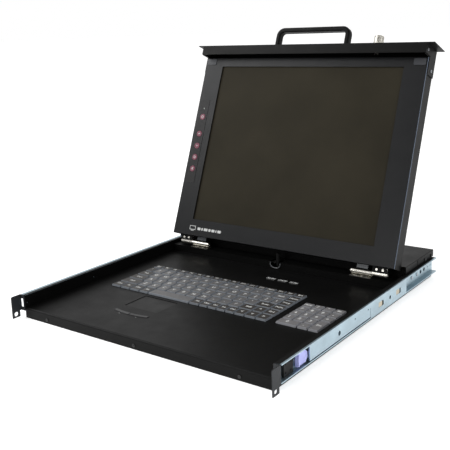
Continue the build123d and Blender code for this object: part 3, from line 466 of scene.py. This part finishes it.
def patch(bm, x0, x1, y0, y1, place, r=0.0, steps=4):
    """Flat rectangle with rounded corners in the drawing plane."""
    pts = []
    corners = ((x1 - r, y1 - r, 0), (x0 + r, y1 - r, 90), (x0 + r, y0 + r, 180), (x1 - r, y0 + r, 270))
    for cx, cy, a0 in corners:
        for i in range(steps + 1 if r else 1):
            a = math.radians(a0 + 90 * i / steps)
            pts.append(bm.verts.new(place @ Vector((cx + r * math.cos(a), cy + r * math.sin(a), 0))))
    bm.faces.new(pts)


def ring(bm, cx, cy, r, half, place, steps=20, a0=0, a1=360):
    pts = [(cx + r * math.cos(math.radians(a0 + (a1 - a0) * i / steps)),
            cy + r * math.sin(math.radians(a0 + (a1 - a0) * i / steps))) for i in range(steps + 1)]
    ribbon(bm, pts, place, half)


def flat(x, y, z):
    return Matrix.Translation((x, y, z))


def facing(x, y, z, axis):
    """Place of a drawing whose face looks along an axis: -Y, +Y, +X or -X."""
    cols = {"-Y": ((1, 0, 0), (0, 0, 1), (0, -1, 0)), "+Y": ((-1, 0, 0), (0, 0, 1), (0, 1, 0)),
            "+X": ((0, 1, 0), (0, 0, 1), (1, 0, 0)), "-X": ((0, -1, 0), (0, 0, 1), (-1, 0, 0))}[axis]
    m = Matrix(cols).transposed().to_4x4()
    m.translation = (x, y, z)
    return m


# ---------------------------------------------------------------- finishes on the CAD nodes
SLOTS = {s["node"]: s["material_slot"] for s in frame["record"]["subparts"]}
# lid_bezel takes the bezel finish with the painted highlight on its +X edges
FINISH = {"hinge_straps": "strap_nickel", "lid_screws": "rivet_steel", "lid_bezel": "bezel_painted_highlight",
          "touch_button_left": "touch_bar", "touch_button_right": "touch_bar",
          "front_bracket_left": "bracket_grey", "front_bracket_right": "bracket_grey"}
KEYS = {}
for node, (legends, marks) in ROWS.items():
    KEYS[node] = islands(NODES[node])
for node, obj in NODES.items():
    if node in ROWS:
        finish = key_material(node, KEYS[node], ROWS[node][1])
    else:
        finish = MATS[FINISH.get(node, SLOTS[node])]
    if not obj.material_slots:
        obj.data.materials.append(finish.mat)
    for ms in obj.material_slots:
        ms.link = "OBJECT"
        ms.material = finish.mat

# ---------------------------------------------------------------- legends on the keys
LEGEND_LIFT = 0.00005
LETTER_SIZE, WORD_SIZE = 0.0078, 0.0056
LETTER_FILL, WORD_FILL = 0.62, 0.5
WORD_MARGIN = 0.0035
LETTER_ASPECT = 0.58


def key_legend(bm, a, b, text):
    """One legend a little above the middle of its key; words are narrowed to fit between the edges."""
    w, d = b.x - a.x, b.y - a.y
    x = (a.x + b.x) / 2
    if len(text) == 1:
        size, wide = min(LETTER_SIZE, d * LETTER_FILL), 1.0
        x -= 0.06 * w
    else:
        size = min(WORD_SIZE, d * WORD_FILL)
        wide = min(1.0, (w - WORD_MARGIN) / (size * LETTER_ASPECT * len(text)))
    write(bm, text, flat(x, a.y + d * 0.54, b.z + LEGEND_LIFT), size, 0.03, 0.0, wide)


for node, (legends, marks) in ROWS.items():
    bm = bmesh.new()
    for (a, b), text in zip(KEYS[node], legends):
        if text:
            key_legend(bm, a, b, text)
    drawing("legends_" + node, node, MATS["legend_white"], bm)

# ---------------------------------------------------------------- marks on the deck
PAD_DROP = 0.0006
MARK_LIFT = 0.00008
LAMP_LABEL_BACK, LAMP_LABEL_LEFT, LAMP_LABEL_SIZE = 0.0034, 0.003, 0.0060
TICK_HALF, TICK_NEAR, TICK_FAR = 0.0012, 0.0020, 0.0026

bm = bmesh.new()
mark_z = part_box("touchpad")[1].z + PAD_DROP + MARK_LIFT
for (a, b), text in zip(islands(NODES["lock_lights"]), ("NUM", "CAPS", "SCRL")):
    place = flat((a.x + b.x) / 2 - LAMP_LABEL_LEFT, b.y + LAMP_LABEL_BACK, mark_z)
    write(bm, text, place, LAMP_LABEL_SIZE, 0.035, 0.35, 1.08)
for node in ("touch_button_left", "touch_button_right"):
    a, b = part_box(node)
    x = (a.x + b.x) / 2
    patch(bm, x - TICK_HALF, x + TICK_HALF, a.y - TICK_FAR, a.y - TICK_NEAR, flat(0, 0, mark_z))
drawing("deck_marks", "chassis", MATS["legend_white"], bm)

# ---------------------------------------------------------------- cable notch edge
RIM_R = 0.0008
RIM_HALF, RIM_BEND = 0.0093, 0.0073
RIM_DEEP, RIM_TOP = 0.0098, 0.0010
RIM_STEPS = 18
WALL_AHEAD = 0.0012


def notch_outline(top_z):
    """U of the notch as seen from the front: offset from its middle, and height."""
    floor_z = top_z - RIM_DEEP
    points = [(-RIM_HALF, top_z - RIM_TOP)]
    for i in range(RIM_STEPS + 1):
        turn = math.radians(180 * i / RIM_STEPS)
        side = -1 if i <= RIM_STEPS // 2 else 1
        dx = side * (RIM_HALF - RIM_BEND) - RIM_BEND * math.cos(turn)
        points.append((dx, floor_z + RIM_BEND * (1 - math.sin(turn))))
    points.append((RIM_HALF, top_z - RIM_TOP))
    return points


cable_lo, cable_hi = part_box("display_cable")
notch_x = (cable_lo.x + cable_hi.x) / 2
openings = frame["record"]["physics"]["openings"]
wall_y = next(o for o in openings if o["name"] == "cable_notch")["box_m"][0][1] + WALL_AHEAD
curve = bpy.data.curves.new("notch_edge", "CURVE")
curve.dimensions = "3D"
curve.bevel_depth = RIM_R
curve.bevel_resolution = 3
outline = notch_outline(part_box("keyboard_deck")[1].z)
spline = curve.splines.new("POLY")
spline.points.add(len(outline) - 1)
for point, (dx, z) in zip(spline.points, outline):
    point.co = (notch_x + dx, wall_y, z, 1)
edge = bpy.data.objects.new("notch_edge", curve)
bpy.context.scene.collection.objects.link(edge)
curve.materials.append(coated("notch_grey", (0.115, 0.120, 0.128), 0.35, grain=900.0).mat)
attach(edge, "chassis")

# ---------------------------------------------------------------- screw drives, drawn as painted shade of the cross recesses
DRIVE_LIFT = 0.00004
CASE_DRIVE_R, HINGE_DRIVE_R = 0.0014, 0.0012


def cross_drive(bm, place, r):
    # the cross is a flat patch of painted shade in place of the recess
    w = r * 0.26
    for x0, x1, y0, y1 in ((-r, r, -w, w), (-w, w, -r, r)):
        patch(bm, x0, x1, y0, y1, place, w * 0.5, 2)


def side_drive(bm, a, b):
    """Painted shade of the cross in the head of a screw that goes in from the left or the right side."""
    c = (a + b) / 2
    out = max(abs(a.x), abs(b.x)) + DRIVE_LIFT
    if c.x > 0:
        cross_drive(bm, facing(out, c.y, c.z, "+X"), CASE_DRIVE_R)
    else:
        cross_drive(bm, facing(-out, c.y, c.z, "-X"), CASE_DRIVE_R)


def at_side(a, b, limit):
    """True for a screw further from the middle plane than the limit, in metres."""
    return abs((a.x + b.x) / 2) > limit


bm = bmesh.new()
for a, b in islands(NODES["case_screws"]):
    if at_side(a, b, 0.2):
        side_drive(bm, a, b)
    else:
        c = (a + b) / 2
        cross_drive(bm, facing(c.x, a.y - DRIVE_LIFT, c.z, "-Y"), CASE_DRIVE_R)
for a, b in islands(NODES["hinge_screws"]):
    c = (a + b) / 2
    cross_drive(bm, flat(c.x, c.y, b.z + DRIVE_LIFT), HINGE_DRIVE_R)
drawing("screw_drives_tray", "chassis", MATS["painted_recess_shade"], bm)

bm = bmesh.new()
for a, b in islands(NODES["lid_screws"]):
    if at_side(a, b, 0.15):
        side_drive(bm, a, b)
drawing("screw_drives_lid", "display_lid", MATS["painted_recess_shade"], bm)

# ---------------------------------------------------------------- signs on the display buttons
# Signs and badge are drawn in mm; the height is counted from the lid's own zero plane.
SIGN_N = 13.74


def power_sign(bm, place):
    ring(bm, 0, 0, 1.9, 0.32, place, 18, 120, 420)
    ribbon(bm, [(0, 0.6), (0, 2.6)], place, 0.32)


def arrow_sign(bm, place, way):
    ribbon(bm, [(-1.7, -0.9 * way), (0, 1.1 * way), (1.7, -0.9 * way)], place, 0.40)


def ring_sign(bm, place):
    ring(bm, 0, 0, 1.8, 0.34, place, 18)


def menu_sign(bm, place):
    for v in (-1.3, 0.0, 1.3):
        ribbon(bm, [(-1.7, v), (1.7, v)], place, 0.30)


SIGNS = (power_sign, lambda bm, place: arrow_sign(bm, place, 1), lambda bm, place: arrow_sign(bm, place, -1),
         ring_sign, menu_sign)
for i, sign in enumerate(SIGNS, 1):
    a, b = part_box("osd_button_%d" % i)
    x, u, _ = lid_coords((a + b) / 2)
    bm = bmesh.new()
    sign(bm, lid_place(x, u, SIGN_N) @ Matrix.Scale(MM, 4))
    drawing("button_sign_%d" % i, "osd_button_%d" % i, MATS["legend_white"], bm)

# ---------------------------------------------------------------- plain badge on the bezel
BADGE_N = 12.86
BADGE_X, BADGE_U = -172.0, 18.8
MONITOR = ((0, 12.6, 1.6, 2.5), (0, 12.6, 7.7, 8.6), (0, 0.9, 1.6, 8.6), (11.7, 12.6, 1.6, 8.6),
           (3.2, 9.4, 0.0, 0.9))
BAR_WIDTHS = (6.4, 3.2, 8.0, 4.6, 6.4, 2.2, 7.2)
BAR_START, BAR_GAP, BAR_LOW, BAR_HIGH, BAR_ROUND = 17.0, 1.9, 2.3, 6.7, 1.2

bm = bmesh.new()
face = lid_place(0, 0, BADGE_N) @ Matrix.Scale(MM, 4)
for x0, x1, u0, u1 in MONITOR:
    patch(bm, BADGE_X + x0, BADGE_X + x1, BADGE_U + u0, BADGE_U + u1, face)
x0 = BADGE_X + BAR_START
for w in BAR_WIDTHS:
    patch(bm, x0, x0 + w, BADGE_U + BAR_LOW, BADGE_U + BAR_HIGH, face, BAR_ROUND)
    x0 += w + BAR_GAP
drawing("lid_badge", "display_lid", MATS["legend_white"], bm)

# ---------------------------------------------------------------- port signs at the rear
PORT_SIGN_UP, PORT_SIGN_SIZE, PORT_SIGN_LIFT = 0.0032, 0.0058, 0.00006

bm = bmesh.new()
rear_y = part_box("rear_panel")[1].y + PORT_SIGN_LIFT
for i, (a, b) in enumerate(islands(NODES["kvm_ports"])):
    c = (a + b) / 2
    sign = str(i) if i else "A"
    place = facing(c.x, rear_y, b.z + PORT_SIGN_UP, "+Y")
    write(bm, sign, place, PORT_SIGN_SIZE, 0.02)
drawing("port_numbers", "chassis", MATS["legend_white"], bm)

# ---------------------------------------------------------------- floor
FLOOR_HALF = 40.0
FLOOR_GAP = 0.0004

floor_mat = bpy.data.materials.new("floor")
floor_mat.use_nodes = True
floor_bsdf = floor_mat.node_tree.nodes["Principled BSDF"]
floor_bsdf.inputs["Base Color"].default_value = grey(0.90)
floor_bsdf.inputs["Roughness"].default_value = 0.95
floor_bsdf.inputs["Specular IOR Level"].default_value = 0.0
floor_bsdf.inputs["Emission Color"].default_value = grey(1.0)
floor_bsdf.inputs["Emission Strength"].default_value = 0.55
floor_mesh = bpy.data.meshes.new("floor")
floor_mesh.from_pydata([(-FLOOR_HALF, -FLOOR_HALF, 0), (FLOOR_HALF, -FLOOR_HALF, 0),
                        (FLOOR_HALF, FLOOR_HALF, 0), (-FLOOR_HALF, FLOOR_HALF, 0)], [], [(0, 1, 2, 3)])
floor = bpy.data.objects.new("floor", floor_mesh)
floor.data.materials.append(floor_mat)
floor.location.z = lo0.z - FLOOR_GAP
bpy.context.scene.collection.objects.link(floor)

# ---------------------------------------------------------------- studio light
# The surroundings are brightest at the upper rear left. The camera itself sees plain white.
BRIGHT_SIDE = (-0.75, 0.42, 0.52)
SHADE = {"From Min": -0.4, "From Max": 0.9, "To Min": 0.18, "To Max": 0.92}

world = bpy.data.worlds.new("studio")
bpy.context.scene.world = world
world.use_nodes = True
nodes, links = world.node_tree.nodes, world.node_tree.links
back = nodes["Background"]
path = nodes.new("ShaderNodeLightPath")
coords = nodes.new("ShaderNodeTexCoord")
dot = nodes.new("ShaderNodeVectorMath")
dot.operation = "DOT_PRODUCT"
dot.inputs[1].default_value = Vector(BRIGHT_SIDE).normalized()
links.new(coords.outputs["Generated"], dot.inputs[0])
shade = nodes.new("ShaderNodeMapRange")
for name, value in SHADE.items():
    shade.inputs[name].default_value = value
links.new(dot.outputs["Value"], shade.inputs["Value"])
pick = nodes.new("ShaderNodeMix")
pick.data_type = "FLOAT"
links.new(path.outputs["Is Camera Ray"], pick.inputs["Factor"])
links.new(shade.outputs["Result"], pick.inputs[2])
pick.inputs[3].default_value = 1.0
links.new(pick.outputs[0], back.inputs["Strength"])
back.inputs["Color"].default_value = grey(1.0)
bpy.context.scene.view_settings.view_transform = "Standard"


def softbox(name, loc, look, size, power):
    light = bpy.data.lights.new(name, "AREA")
    light.shape = "RECTANGLE"
    light.size, light.size_y = size
    light.energy = power
    o = bpy.data.objects.new(name, light)
    o.location = loc
    o.rotation_euler = (Vector(look) - Vector(loc)).to_track_quat("-Z", "Y").to_euler()
    bpy.context.scene.collection.objects.link(o)


softbox("softbox_left", (-1.7, -0.9, 1.5), (0, 0, 0.1), (1.6, 1.0), 24)
softbox("softbox_right", (1.9, 0.3, 1.1), (0.1, 0, 0.1), (0.8, 1.2), 7)
softbox("edge_strip", (1.75, -0.9, 0.9), (0.2, 0, 0.2), (0.22, 1.4), 7)
softbox("softbox_front", (-0.55, -2.0, 0.75), (0.15, 0.1, 0.08), (0.5, 0.4), 6)

# ---------------------------------------------------------------- camera
YAW, PITCH, ROLL = math.radians(35.87), math.radians(11.17), math.radians(-2.0)
CAMERA_PLACE = (0.6356, -0.8496, 0.3887)

camera = bpy.data.cameras.new("camera")
camera.sensor_width = 36.0
camera.lens = 60.27
camera.shift_x = -0.0469
camera.shift_y = -0.108
camera.clip_start = 0.01
ahead = Vector((-math.sin(YAW) * math.cos(PITCH), math.cos(YAW) * math.cos(PITCH), -math.sin(PITCH)))
level = Vector((math.cos(YAW), math.sin(YAW), 0))
above = level.cross(ahead)
right = level * math.cos(ROLL) + above * math.sin(ROLL)
up = above * math.cos(ROLL) - level * math.sin(ROLL)
view = Matrix((right, up, -ahead)).transposed().to_4x4()
view.translation = CAMERA_PLACE
camera_object = bpy.data.objects.new("camera", camera)
camera_object.matrix_world = view
bpy.context.scene.collection.objects.link(camera_object)
bpy.context.scene.camera = camera_object
